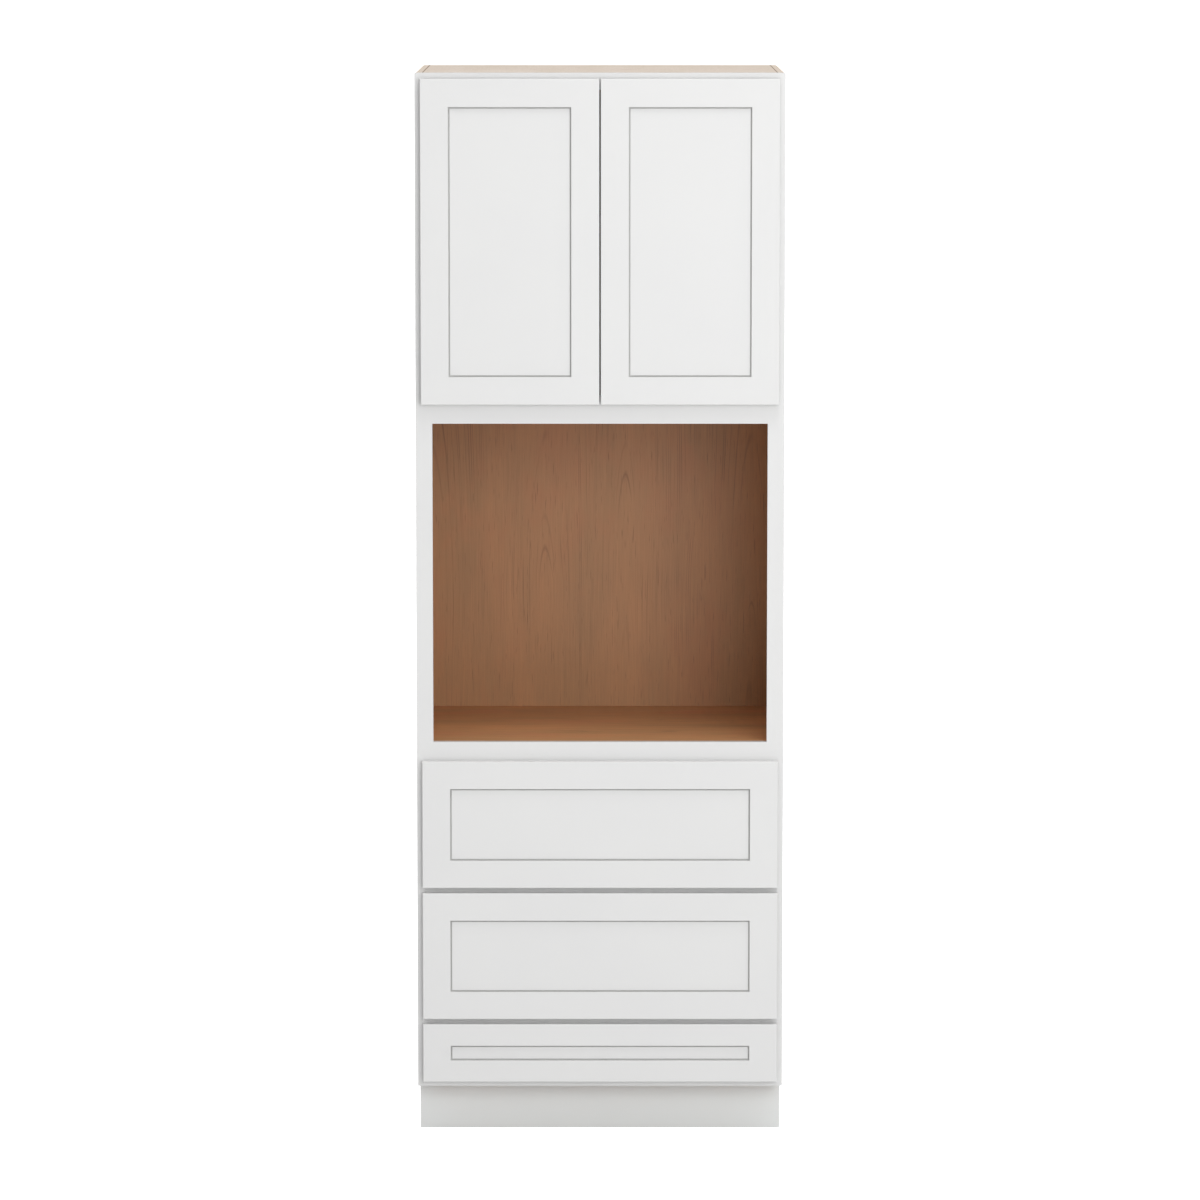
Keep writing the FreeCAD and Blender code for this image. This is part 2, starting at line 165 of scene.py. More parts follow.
@dataclass(frozen=True, kw_only=True)
class Finish(ABC):
    """A finish of the cabinet, which makes one procedural material."""

    name: str
    metallic: float = 0.0
    transmission: float = 0.0
    relief_mm: float = 0.05

    @abstractmethod
    def look(self, tree: Tree, place: bpy.types.Node) -> Look:
        """Builds the pattern.

        Args:
            tree: the material's node tree.
            place: the Texture Coordinate node.

        Returns:
            The look for the shader.
        """

    def material(self) -> bpy.types.Material:
        """Makes the material of this finish.

        Returns:
            The material, with its pattern linked to one principled shader.
        """
        made = bpy.data.materials.new(self.name)
        made.use_nodes = True
        tree = made.node_tree
        tree.nodes.clear()
        look = self.look(tree, add(tree, "ShaderNodeTexCoord"))
        bump = add(tree, "ShaderNodeBump", {"Height": look.height, "Distance": self.relief_mm * MM})
        shader = add(tree, "ShaderNodeBsdfPrincipled", {
            "Base Color": look.colour,
            "Roughness": look.roughness,
            "Normal": bump.outputs["Normal"],
            "Metallic": self.metallic,
            "Transmission Weight": self.transmission,
            "Emission Color": WHITE,
            "Emission Strength": look.glow,
        })
        add(tree, "ShaderNodeOutputMaterial", {"Surface": shader.outputs["BSDF"]})
        return made


@dataclass(frozen=True, kw_only=True)
class SatinLacquer(Finish):
    """Sprayed satin lacquer on maple frames and panels.

    It gives the eye an even, cool white with a soft sheen. The spray leaves a faint orange peel of about
    1.5 mm, drawn coarser here so that it shows, and clouds of slightly different tone a hand wide.
    """

    relief_mm: float = 0.02
    white: str = "#DCDCDB"
    cloud: str = "#D8D8D8"
    cloud_mm: float = 260.0
    peel_mm: float = 5.0
    gloss: tuple[float, float] = (0.36, 0.44)

    def look(self, tree: Tree, place: bpy.types.Node) -> Look:
        """Builds clouds of tone and the orange peel.

        Args:
            tree: the material's node tree.
            place: the Texture Coordinate node.

        Returns:
            The look for the shader.
        """
        at = place.outputs["Object"]
        cloud = add(tree, "ShaderNodeTexNoise", {
            "Vector": at, "Scale": per_metre(self.cloud_mm), "Detail": FINE,
        })
        peel = add(tree, "ShaderNodeTexNoise", {
            "Vector": at, "Scale": per_metre(self.peel_mm), "Detail": SMOOTH,
        })
        tone = add(tree, "ShaderNodeMix", {
            0: cloud.outputs["Fac"], 6: linear(self.white), 7: linear(self.cloud),
        }, data_type="RGBA")
        rough = add(tree, "ShaderNodeMapRange", {
            "Value": peel.outputs["Fac"], "To Min": self.gloss[0], "To Max": self.gloss[1],
        })
        return Look(tone.outputs[2], rough.outputs["Result"], peel.outputs["Fac"])


@dataclass(frozen=True, kw_only=True)
class PanelLacquer(SatinLacquer):
    """The same lacquer on a raised panel, whose field drops to a groove along the frame.

    It gives the eye a thin grey line round the field: painted shade, greying the lacquer in the groove.
    """

    field: float
    groove: str = "#BDBDBB"
    drop_mm: tuple[float, float] = (0.8, 2.6)
    floor_mm: float = 4.0

    def look(self, tree: Tree, place: bpy.types.Node) -> Look:
        """Greys the lacquer from the edge of the field down to the groove's floor.

        Args:
            tree: the material's node tree.
            place: the Texture Coordinate node.

        Returns:
            The look for the shader.
        """
        coat = super().look(tree, place)
        deep = add(tree, "ShaderNodeSeparateXYZ", {0: place.outputs["Object"]}).outputs["Y"]
        near, far = (self.field + drop * MM for drop in self.drop_mm)
        sunk = add(tree, "ShaderNodeMapRange", {"Value": deep, "From Min": near, "From Max": far})
        front = add(tree, "ShaderNodeMath", {
            0: deep, 1: self.field + self.floor_mm * MM,
        }, operation="LESS_THAN")
        share = add(tree, "ShaderNodeMath", {0: sunk.outputs[0], 1: front.outputs[0]}, operation="MULTIPLY")
        # Painted shade: the lacquer greys towards the groove's floor.
        colour = add(tree, "ShaderNodeMix", {
            0: share.outputs[0], 6: coat.colour, 7: linear(self.groove),
        }, data_type="RGBA")
        return Look(colour.outputs[2], coat.roughness, coat.height)


@dataclass(frozen=True)
class Grain:
    """A figure in wood: its size, its octaves of noise, and the noise between which it shows."""

    wide_mm: float
    long_mm: float
    octaves: float
    shows: tuple[float, float] = (0.0, 1.0)


@dataclass(frozen=True, kw_only=True)
class Maple(Finish):
    """Maple with a clear satin coat, sliced so that growth rings rise to narrow peaks.

    It gives the eye broad bands of warmer and greyer brown, fine streaks along the grain, a few thin dark
    ring lines that meet in pointed arches, and short dark flecks. Streaks and lines are really under 1 mm
    wide and are drawn coarser, so that they show.
    """

    along: Axis
    across: Axis
    warm: str = "#B58256"
    grey: str = "#A67B52"
    red: str = "#B17C52"
    line: str = "#6F4A32"
    band: Grain = Grain(90.0, 420.0, 2.0)
    streak: Grain = Grain(4.0, 260.0, 3.0)
    streak_share: float = 0.45
    tone_shows: tuple[float, float] = (0.5, 0.95)
    mottle: Grain = Grain(120.0, 230.0, 3.0, (0.5, 0.68))
    hair: Grain = Grain(2.4, 90.0, 2.0, (0.25, 0.75))
    hair_shade: tuple[float, float] = (0.94, 1.06)
    fleck: Grain = Grain(2.6, 48.0, 1.0, (0.65, 0.8))
    patch: Grain = Grain(75.0, 280.0, 2.0, (0.47, 0.66))
    stray: Grain = Grain(220.0, 700.0, 1.0)
    noise_roughness: float = 0.6
    wander_mm: float = 60.0
    leaf_mm: float = 236.0
    heart_mm: float = 92.0
    heart_drop_mm: float = 700.0
    heart_slip_mm: float = 420.0
    slope: float = 0.06
    ring_mm: float = 12.0
    line_width: float = 0.038
    line_share: float = 0.56
    gloss: tuple[float, float] = (0.38, 0.52)

    def figure(self, tree: Tree, board: Socket, grain: Grain) -> Outputs:
        """Draws noise out along the grain.

        Args:
            tree: the node tree.
            board: position on the board, as across, deep and along.
            grain: the figure.

        Returns:
            The outputs of the noise.
        """
        wide, long = per_metre(grain.wide_mm), per_metre(grain.long_mm)
        drawn = add(tree, "ShaderNodeVectorMath", {0: board, 1: (wide, wide, long)}, operation="MULTIPLY")
        return add(tree, "ShaderNodeTexNoise", {
            "Vector": drawn.outputs[0],
            "Scale": 1.0,
            "Detail": grain.octaves,
            "Roughness": self.noise_roughness,
        }).outputs

    def strength(
        self, tree: Tree, board: Socket, grain: Grain, shade: tuple[float, float] = (0.0, 1.0),
    ) -> Socket:
        """Finds how strongly a figure shows.

        Args:
            tree: the node tree.
            board: position on the board.
            grain: the figure.
            shade: the value where the figure is missing, and the value where it is full.

        Returns:
            The value at each place.
        """
        return add(tree, "ShaderNodeMapRange", {
            "Value": self.figure(tree, board, grain)["Fac"],
            "From Min": grain.shows[0],
            "From Max": grain.shows[1],
            "To Min": shade[0],
            "To Max": shade[1],
        }).outputs[0]

    def from_heart(self, tree: Tree, board: Socket) -> Socket:
        """Finds how far each place lay from the heart of its log, which leans against the cut.

        The veneer is a row of leaves. Each is turned over beside the last and slipped along the grain.

        Args:
            tree: the node tree.
            board: position on the board.

        Returns:
            The distance in metres.
        """
        parts = add(tree, "ShaderNodeSeparateXYZ", {0: board}).outputs
        stray = add(tree, "ShaderNodeSeparateXYZ", {0: self.figure(tree, board, self.stray)["Color"]})
        across = add(tree, "ShaderNodeMath", {
            0: stray.outputs[0], 1: self.wander_mm * MM, 2: parts["X"],
        }, operation="MULTIPLY_ADD").outputs[0]
        leaf = add(tree, "ShaderNodeMath", {0: across, 1: self.leaf_mm * MM}, operation="PINGPONG")
        offset = add(tree, "ShaderNodeMath", {
            0: leaf.outputs[0], 1: self.heart_mm * MM,
        }, operation="SUBTRACT")
        count = add(tree, "ShaderNodeMath", {0: across, 1: per_metre(self.leaf_mm)}, operation="MULTIPLY")
        number = add(tree, "ShaderNodeMath", {0: count.outputs[0]}, operation="FLOOR")
        slip = add(tree, "ShaderNodeTexWhiteNoise", {"W": number.outputs[0]}, noise_dimensions="1D")
        rise = add(tree, "ShaderNodeMath", {
            0: slip.outputs["Value"], 1: -self.heart_slip_mm * MM, 2: parts["Z"],
        }, operation="MULTIPLY_ADD")
        fall = add(tree, "ShaderNodeMath", {
            0: rise.outputs[0], 1: self.slope, 2: -self.heart_drop_mm * MM * self.slope,
        }, operation="MULTIPLY_ADD")
        log = add(tree, "ShaderNodeCombineXYZ", {"X": offset.outputs[0], "Y": fall.outputs[0]})
        return add(tree, "ShaderNodeVectorMath", {0: log.outputs[0]}, operation="LENGTH").outputs["Value"]

    def rings(self, tree: Tree, board: Socket) -> Socket:
        """Draws the growth rings in patches, as thin lines of uneven spacing.

        Args:
            tree: the node tree.
            board: position on the board.

        Returns:
            The strength of the ring lines, from 0 to 1.
        """
        ring = add(tree, "ShaderNodeTexNoise", {
            "W": self.from_heart(tree, board), "Scale": per_metre(self.ring_mm), "Detail": 0.0,
        }, noise_dimensions="1D")
        past = add(tree, "ShaderNodeMath", {0: ring.outputs["Fac"], 1: NOISE_MIDDLE}, operation="SUBTRACT")
        away = add(tree, "ShaderNodeMath", {0: past.outputs[0]}, operation="ABSOLUTE")
        thin = add(tree, "ShaderNodeMapRange", {
            "Value": away.outputs[0], "From Max": self.line_width, "To Min": 1.0, "To Max": 0.0,
        })
        return add(tree, "ShaderNodeMath", {
            0: thin.outputs[0], 1: self.strength(tree, board, self.patch),
        }, operation="MULTIPLY").outputs[0]

    def look(self, tree: Tree, place: bpy.types.Node) -> Look:
        """Builds bands, streaks, ring lines and flecks along the grain.

        Args:
            tree: the material's node tree.
            place: the Texture Coordinate node.

        Returns:
            The look for the shader.
        """
        at = add(tree, "ShaderNodeSeparateXYZ", {0: place.outputs["Object"]}).outputs
        deep = next(axis for axis in Axis if axis not in (self.along, self.across))
        board = add(tree, "ShaderNodeCombineXYZ", {
            "X": at[self.across.value], "Y": at[deep.value], "Z": at[self.along.value],
        }).outputs[0]
        band = self.figure(tree, board, self.band)["Fac"]
        streak = self.figure(tree, board, self.streak)["Fac"]
        both = add(tree, "ShaderNodeMath", {
            0: streak, 1: self.streak_share, 2: band,
        }, operation="MULTIPLY_ADD")
        tone = add(tree, "ShaderNodeMapRange", {
            "Value": both.outputs[0], "From Min": self.tone_shows[0], "From Max": self.tone_shows[1],
        })
        plain = add(tree, "ShaderNodeMix", {
            0: tone.outputs[0], 6: linear(self.warm), 7: linear(self.grey),
        }, data_type="RGBA")
        base = add(tree, "ShaderNodeMix", {
            0: self.strength(tree, board, self.mottle), 6: plain.outputs[2], 7: linear(self.red),
        }, data_type="RGBA")
        fibres = add(tree, "ShaderNodeMix", {
            0: 1.0, 6: base.outputs[2], 7: self.strength(tree, board, self.hair, self.hair_shade),
        }, data_type="RGBA", blend_type="MULTIPLY")
        marks = add(tree, "ShaderNodeMath", {
            0: self.rings(tree, board), 1: self.strength(tree, board, self.fleck),
        }, operation="MAXIMUM")
        dark = add(tree, "ShaderNodeMath", {0: marks.outputs[0], 1: self.line_share}, operation="MULTIPLY")
        colour = add(tree, "ShaderNodeMix", {
            0: dark.outputs[0], 6: fibres.outputs[2], 7: linear(self.line),
        }, data_type="RGBA")
        rough = add(tree, "ShaderNodeMapRange", {
            "Value": streak, "To Min": self.gloss[0], "To Max": self.gloss[1],
        })
        return Look(colour.outputs[2], rough.outputs[0], streak)


@dataclass(frozen=True, kw_only=True)
class SolidMaple(Maple):
    """Solid maple boards of the drawer boxes, with a clear coat.

    It gives the eye the same figure, and darker, duller ends where the coat soaks into the end grain.
    So the dovetails show at the corners.
    """

    end: str = "#B08C62"
    end_share: float = 0.75
    end_facing: float = 0.7

    def look(self, tree: Tree, place: bpy.types.Node) -> Look:
        """Darkens the faces that look along the grain.

        Args:
            tree: the material's node tree.
            place: the Texture Coordinate node.

        Returns:
            The look for the shader.
        """
        board = super().look(tree, place)
        turned = add(tree, "ShaderNodeSeparateXYZ", {0: place.outputs["Normal"]}).outputs[self.along.value]
        size = add(tree, "ShaderNodeMath", {0: turned}, operation="ABSOLUTE")
        ends = add(tree, "ShaderNodeMath", {
            0: size.outputs[0], 1: self.end_facing,
        }, operation="GREATER_THAN")
        share = add(tree, "ShaderNodeMath", {0: ends.outputs[0], 1: self.end_share}, operation="MULTIPLY")
        colour = add(tree, "ShaderNodeMix", {
            0: share.outputs[0], 6: board.colour, 7: linear(self.end),
        }, data_type="RGBA")
        return Look(colour.outputs[2], board.roughness, board.height)


@dataclass(frozen=True, kw_only=True)
class RawPlywood(Finish):
    """Unfinished plywood: pale sanded face veneer, and edges where the plies show as thin bands.

    It gives the eye a dry, chalky tan face with faint grain, and edges striped in two browns. The fibres
    of an edge are really under 0.2 mm wide and are drawn coarser.
    """

    face: Maple
    deep: Axis
    light: str = "#DED0C3"
    dark: str = "#CEBFAC"
    ply_mm: float = 1.6
    wobble: float = 0.4
    fibre_mm: float = 3.0
    gloss: tuple[float, float] = (0.72, 0.9)
    face_facing: float = 0.5

    def edge(self, tree: Tree, place: bpy.types.Node) -> Look:
        """Builds the striped edge.

        Args:
            tree: the node tree.
            place: the Texture Coordinate node.

        Returns:
            The look of a sawn edge.
        """
        at = place.outputs["Object"]
        band = add(tree, "ShaderNodeTexWave", {
            "Vector": at,
            "Scale": FULL_TURN / (WAVE_FACTOR * 2 * self.ply_mm * MM),
            "Distortion": self.wobble,
        }, wave_type="BANDS", bands_direction=self.deep.value)
        fibre = add(tree, "ShaderNodeTexNoise", {
            "Vector": at, "Scale": per_metre(self.fibre_mm), "Detail": FINE,
        })
        tone = add(tree, "ShaderNodeMix", {
            0: band.outputs["Fac"], 6: linear(self.light), 7: linear(self.dark),
        }, data_type="RGBA")
        rough = add(tree, "ShaderNodeMapRange", {
            "Value": fibre.outputs["Fac"], "To Min": self.gloss[0], "To Max": self.gloss[1],
        })
        return Look(tone.outputs[2], rough.outputs[0], fibre.outputs["Fac"])

    def on_edge(self, tree: Tree, place: bpy.types.Node) -> Socket:
        """Tells edges from faces by the direction that the surface faces.

        Args:
            tree: the node tree.
            place: the Texture Coordinate node.

        Returns:
            One on the edges of the board, and zero on its two faces.
        """
        turned = add(tree, "ShaderNodeSeparateXYZ", {0: place.outputs["Normal"]}).outputs[self.deep.value]
        size = add(tree, "ShaderNodeMath", {0: turned}, operation="ABSOLUTE")
        return add(tree, "ShaderNodeMath", {
            0: size.outputs[0], 1: self.face_facing,
        }, operation="LESS_THAN").outputs[0]

    def look(self, tree: Tree, place: bpy.types.Node) -> Look:
        """Puts the striped edge round the face veneer."""
        face = self.face.look(tree, place)
        return face.under(tree, self.edge(tree, place), self.on_edge(tree, place))


@dataclass(frozen=True, kw_only=True)
class SideBoard(Finish):
    """A side of the cabinet: plywood with maple veneer inside and white lacquer outside.

    It gives the eye a plain white end panel, a wood-lined inside and a raw edge on top, where the dark edge
    of the inner veneer shows as a line. The veneer is really 0.6 mm thick, and its edge is drawn coarser.
    """

    side: Side
    core: RawPlywood
    coat: SatinLacquer
    inner: float
    veneer: str = "#7C6248"
    veneer_mm: float = 2.2
    outer_facing: float = 0.5

    def look(self, tree: Tree, place: bpy.types.Node) -> Look:
        """Lays the white coat over the outer face of the veneered board, and draws the veneer's edge.

        Args:
            tree: the material's node tree.
            place: the Texture Coordinate node.

        Returns:
            The look for the shader.
        """
        core = self.core.look(tree, place)
        at = add(tree, "ShaderNodeSeparateXYZ", {0: place.outputs["Object"]})
        away = add(tree, "ShaderNodeMath", {0: at.outputs["X"], 1: self.inner}, operation="SUBTRACT")
        near = add(tree, "ShaderNodeMath", {0: away.outputs[0]}, operation="ABSOLUTE")
        line = add(tree, "ShaderNodeMath", {
            0: near.outputs[0], 1: self.veneer_mm * MM,
        }, operation="LESS_THAN")
        shown = add(tree, "ShaderNodeMath", {
            0: line.outputs[0], 1: self.core.on_edge(tree, place),
        }, operation="MULTIPLY")
        lined = add(tree, "ShaderNodeMix", {
            0: shown.outputs[0], 6: core.colour, 7: linear(self.veneer),
        }, data_type="RGBA")
        turned = add(tree, "ShaderNodeSeparateXYZ", {0: place.outputs["Normal"]}).outputs["X"]
        outer = add(tree, "ShaderNodeMath", {0: turned, 1: float(self.side.value)}, operation="MULTIPLY")
        share = add(tree, "ShaderNodeMath", {
            0: outer.outputs[0], 1: self.outer_facing,
        }, operation="GREATER_THAN")
        board = Look(lined.outputs[2], core.roughness, core.height)
        return board.under(tree, self.coat.look(tree, place), share.outputs[0])


@dataclass(frozen=True, kw_only=True)
class PlatedSteel(Finish):
    """Steel strip with a bright plating, rolled or drawn along one axis.

    It gives the eye a grey metal with fine drawn lines, which are really under 0.2 mm wide and are drawn
    coarser, and dull clouds where the plating is thin.
    """

    along: Axis
    bright: str
    dull: str
    gloss: tuple[float, float]
    line_mm: float = 1.2
    run_mm: float = 60.0
    cloud_mm: float = 30.0
    dull_shows: tuple[float, float] = (0.1, 0.45)
    metallic: float = 1.0

    def look(self, tree: Tree, place: bpy.types.Node) -> Look:
        """Builds drawn lines and clouds in the plating.

        Args:
            tree: the material's node tree.
            place: the Texture Coordinate node.

        Returns:
            The look for the shader.
        """
        at = place.outputs["Object"]
        size = [per_metre(self.run_mm if axis is self.along else self.line_mm) for axis in Axis]
        drawn = add(tree, "ShaderNodeVectorMath", {0: at, 1: size}, operation="MULTIPLY")
        lines = add(tree, "ShaderNodeTexNoise", {
            "Vector": drawn.outputs[0], "Scale": 1.0, "Detail": FINE,
        })
        cloud = add(tree, "ShaderNodeTexNoise", {
            "Vector": at, "Scale": per_metre(self.cloud_mm), "Detail": FINE,
        })
        both = add(tree, "ShaderNodeMath", {
            0: lines.outputs["Fac"], 1: cloud.outputs["Fac"],
        }, operation="MULTIPLY")
        tone = add(tree, "ShaderNodeMapRange", {
            "Value": both.outputs[0], "From Min": self.dull_shows[0], "From Max": self.dull_shows[1],
        })
        colour = add(tree, "ShaderNodeMix", {
            0: tone.outputs[0], 6: linear(self.bright), 7: linear(self.dull),
        }, data_type="RGBA")
        rough = add(tree, "ShaderNodeMapRange", {
            "Value": lines.outputs["Fac"], "To Min": self.gloss[0], "To Max": self.gloss[1],
        })
        return Look(colour.outputs[2], rough.outputs[0], lines.outputs["Fac"])


@dataclass(frozen=True, kw_only=True)
class SoftPlastic(Finish):
    """Cast polyurethane of the stick-on bumpers.

    It gives the eye a milky, half clear dot with a smooth skin and a little cloud inside.
    """

    clear: str = "#F0F0EC"
    milk: str = "#D9D9D4"
    cloud_mm: float = 4.0
    gloss: tuple[float, float] = (0.22, 0.34)

    def look(self, tree: Tree, place: bpy.types.Node) -> Look:
        """Builds the milky cloud.

        Args:
            tree: the material's node tree.
            place: the Texture Coordinate node.

        Returns:
            The look for the shader.
        """
        cloud = add(tree, "ShaderNodeTexNoise", {
            "Vector": place.outputs["Object"], "Scale": per_metre(self.cloud_mm), "Detail": SMOOTH,
        })
        colour = add(tree, "ShaderNodeMix", {
            0: cloud.outputs["Fac"], 6: linear(self.clear), 7: linear(self.milk),
        }, data_type="RGBA")
        rough = add(tree, "ShaderNodeMapRange", {
            "Value": cloud.outputs["Fac"], "To Min": self.gloss[0], "To Max": self.gloss[1],
        })
        return Look(colour.outputs[2], rough.outputs[0], cloud.outputs["Fac"])


@dataclass(frozen=True, kw_only=True)
class PaleFloor(Finish):
    """Matt white studio floor.

    It gives the eye a plain ground that is blown out to white, as in a bright studio. Only the camera sees
    that: what the floor throws back at the cabinet is its own soft bounce, and under the cabinet it
    stays dark.
    """

    half_width: float
    depth: tuple[float, float]
    white: str = "#F1F1F1"
    shade: str = "#EDEDED"
    cloud_mm: float = 900.0
    gloss: tuple[float, float] = (0.85, 0.95)

    def look(self, tree: Tree, place: bpy.types.Node) -> Look:
        """Builds a faint cloud of tone, and the blown-out white round the cabinet's foot.

        Args:
            tree: the material's node tree.
            place: the Texture Coordinate node.

        Returns:
            The look for the shader.
        """
        cloud = add(tree, "ShaderNodeTexNoise", {
            "Vector": place.outputs["Object"], "Scale": per_metre(self.cloud_mm), "Detail": SMOOTH,
        })
        colour = add(tree, "ShaderNodeMix", {
            0: cloud.outputs["Fac"], 6: linear(self.white), 7: linear(self.shade),
        }, data_type="RGBA")
        rough = add(tree, "ShaderNodeMapRange", {
            "Value": cloud.outputs["Fac"], "To Min": self.gloss[0], "To Max": self.gloss[1],
        })
        at = add(tree, "ShaderNodeSeparateXYZ", {0: place.outputs["Object"]})
        beside = add(tree, "ShaderNodeMath", {
            0: at.outputs["X"], 1: 0.0, 2: self.half_width,
        }, operation="COMPARE")
        middle, reach = sum(self.depth) / 2, (self.depth[1] - self.depth[0]) / 2
        before = add(tree, "ShaderNodeMath", {0: at.outputs["Y"], 1: middle, 2: reach}, operation="COMPARE")
        under = add(tree, "ShaderNodeMath", {
            0: beside.outputs[0], 1: before.outputs[0],
        }, operation="MULTIPLY")
        seen = add(tree, "ShaderNodeLightPath").outputs["Is Camera Ray"]
        glow = add(tree, "ShaderNodeMath", {
            0: seen, 1: under.outputs[0],
        }, operation="SUBTRACT", use_clamp=True)
        return Look(colour.outputs[2], rough.outputs[0], cloud.outputs["Fac"], glow.outputs[0])


LACQUER = SatinLacquer(name="satin_white_lacquer")
# Panel lacquer with painted shade in the groove round the raised field.
PANEL_LACQUER_GROOVE_SHADE = PanelLacquer(name="satin_white_lacquer_panel", field=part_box("left_door_panel")[0].y)
# The toe kick's lacquer is a lighter, cooler copy of the white lacquer: painted light on the shaded recess.
TOE_LIGHTENED_LACQUER = SatinLacquer(name="satin_white_toe_lacquer_lightened", white="#E3E5E4", cloud="#DFE1E0")
LINING_UPRIGHT = Maple(name="maple_veneer_upright", along=Axis.UP, across=Axis.ACROSS)
LINING_DEEP = Maple(name="maple_veneer_side", along=Axis.UP, across=Axis.DEEP)
# The level boards' veneer is a lighter copy of the upright lining: painted light on upward faces.
LINING_LEVEL_LIT = Maple(
    name="maple_veneer_level_lit", along=Axis.ACROSS, across=Axis.DEEP, heart_drop_mm=-900.0,
    warm="#CC9667", grey="#B78B61", red="#C68B63",
)
SANDED = {
    "warm": "#D9CBBE", "grey": "#D1C3B3", "red": "#D5C6B8", "line": "#B9A48E",
    "gloss": (0.7, 0.85), "line_share": 0.3,
}
SANDED_LEVEL = Maple(name="sanded_ply_level", along=Axis.DEEP, across=Axis.ACROSS, **SANDED)
SANDED_UPRIGHT = Maple(name="sanded_ply_upright", along=Axis.ACROSS, across=Axis.UP, **SANDED)
SANDED_CLEAT = Maple(name="sanded_ply_cleat", along=Axis.DEEP, across=Axis.UP, **SANDED)
TOP_PLY = RawPlywood(name="raw_plywood_top", face=SANDED_LEVEL, deep=Axis.UP)
RAIL_PLY = RawPlywood(name="raw_plywood_rail", face=SANDED_UPRIGHT, deep=Axis.DEEP)
CLEAT_PLY = RawPlywood(name="raw_plywood_cleat", face=SANDED_CLEAT, deep=Axis.ACROSS)
BACK_PLY = RawPlywood(name="veneered_back_plywood", face=LINING_UPRIGHT, deep=Axis.DEEP)
DECK_PLY = RawPlywood(name="veneered_deck_plywood", face=LINING_LEVEL_LIT, deep=Axis.UP)
SIDE_PLY = RawPlywood(name="veneered_side_plywood", face=LINING_DEEP, deep=Axis.ACROSS)
BOX_MAPLE = {"warm": "#E0C29A", "grey": "#D3B48C", "red": "#DBB68F", "line": "#A57F58", "line_share": 0.4}
BOX_SIDE = SolidMaple(name="drawer_maple_side", along=Axis.DEEP, across=Axis.UP, **BOX_MAPLE)
BOX_END = SolidMaple(name="drawer_maple_end", along=Axis.ACROSS, across=Axis.UP, **BOX_MAPLE)
BOX_FLOOR = Maple(name="drawer_maple_floor", along=Axis.ACROSS, across=Axis.DEEP, **BOX_MAPLE)
ZINC = PlatedSteel(
    name="zinc_plated_steel", along=Axis.DEEP, bright="#C9CBCD", dull="#A3A6A9", gloss=(0.28, 0.42),
)
NICKEL = PlatedSteel(
    name="nickel_plated_steel", along=Axis.UP, bright="#D3CFC8", dull="#B2ADA6", gloss=(0.2, 0.32),
)
BUMPER = SoftPlastic(name="cast_polyurethane", transmission=0.4, relief_mm=0.02)
FLOOR = PaleFloor(
    name="matt_studio_floor", half_width=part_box("back_panel")[1].x,
    depth=(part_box("toe_kick_board")[1].y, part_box("right_side_panel")[1].y),
)


class Paints:
    """Makes each finish's material once, and puts materials on CAD nodes."""

    def __init__(self) -> None:
        """Starts with no materials made."""
        self.made: dict[str, bpy.types.Material] = {}

    def of(self, finish: Finish) -> bpy.types.Material:
        """Gives the material of a finish.

        Args:
            finish: the finish.

        Returns:
            Its material, made at the first call.
        """
        if finish.name not in self.made:
            self.made[finish.name] = finish.material()
        return self.made[finish.name]

    def dress(self, finish: Finish, nodes: Iterable[str]) -> None:
        """Puts a finish on CAD nodes.

        Args:
            finish: the finish.
            nodes: names of the nodes.
        """
        for node in nodes:
            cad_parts[node].material_slots[0].material = self.of(finish)
            LOG.info("%s: %s", node, finish.name)


def set_up(name: str, data: bpy.types.ID) -> bpy.types.Object:
    """Makes an object and links it to the scene.

    Args:
        name: the object's name.
        data: its mesh, light or camera.

    Returns:
        The new object.
    """
    made = bpy.data.objects.new(name, data)
    bpy.context.scene.collection.objects.link(made)
    return made


@dataclass(frozen=True)
class Piece:
    """A new piece: its name, the body that carries it, its slot, which nothing here reads, and its finish.
    """

    name: str
    body: str
    slot: str
    finish: Finish

    def place(self, shape: bmesh.types.BMesh, paints: Paints) -> None:
        """Turns a finished shape into an object that rides on its body.

        Args:
            shape: the shape, at its place in the cabinet, in metres, which is used up.
            paints: the materials.
        """
        bmesh.ops.remove_doubles(shape, verts=shape.verts, dist=WELD)
        bmesh.ops.recalc_face_normals(shape, faces=shape.faces)
        mesh = bpy.data.meshes.new(self.name)
        shape.to_mesh(mesh)
        shape.free()
        mesh.materials.append(paints.of(self.finish))
        made = set_up(self.name, mesh)
        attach(made, self.body)
        LOG.info("%s: new piece on %s, %d faces", self.name, self.body, len(mesh.polygons))


def repeated(shape: bmesh.types.BMesh, places: Iterable[Matrix]) -> bmesh.types.BMesh:
    """Copies a small shape to several places.

    Args:
        shape: the shape at the origin, which is used up.
        places: where each copy goes.

    Returns:
        One shape with all the copies.
    """
    pattern = bpy.data.meshes.new("pattern")
    shape.to_mesh(pattern)
    shape.free()
    copies = bmesh.new()
    for place in places:
        before = set(copies.verts)
        copies.from_mesh(pattern)
        bmesh.ops.transform(copies, matrix=place, verts=[v for v in copies.verts if v not in before])
    bpy.data.meshes.remove(pattern)
    return copies


def facing(at: Vector, way: Vector) -> Matrix:
    """Turns +Z to a direction and moves to a point.

    Args:
        at: the point.
        way: the direction.

    Returns:
        The transform.
    """
    return Matrix.Translation(at) @ way.to_track_quat("Z", "Y").to_matrix().to_4x4()


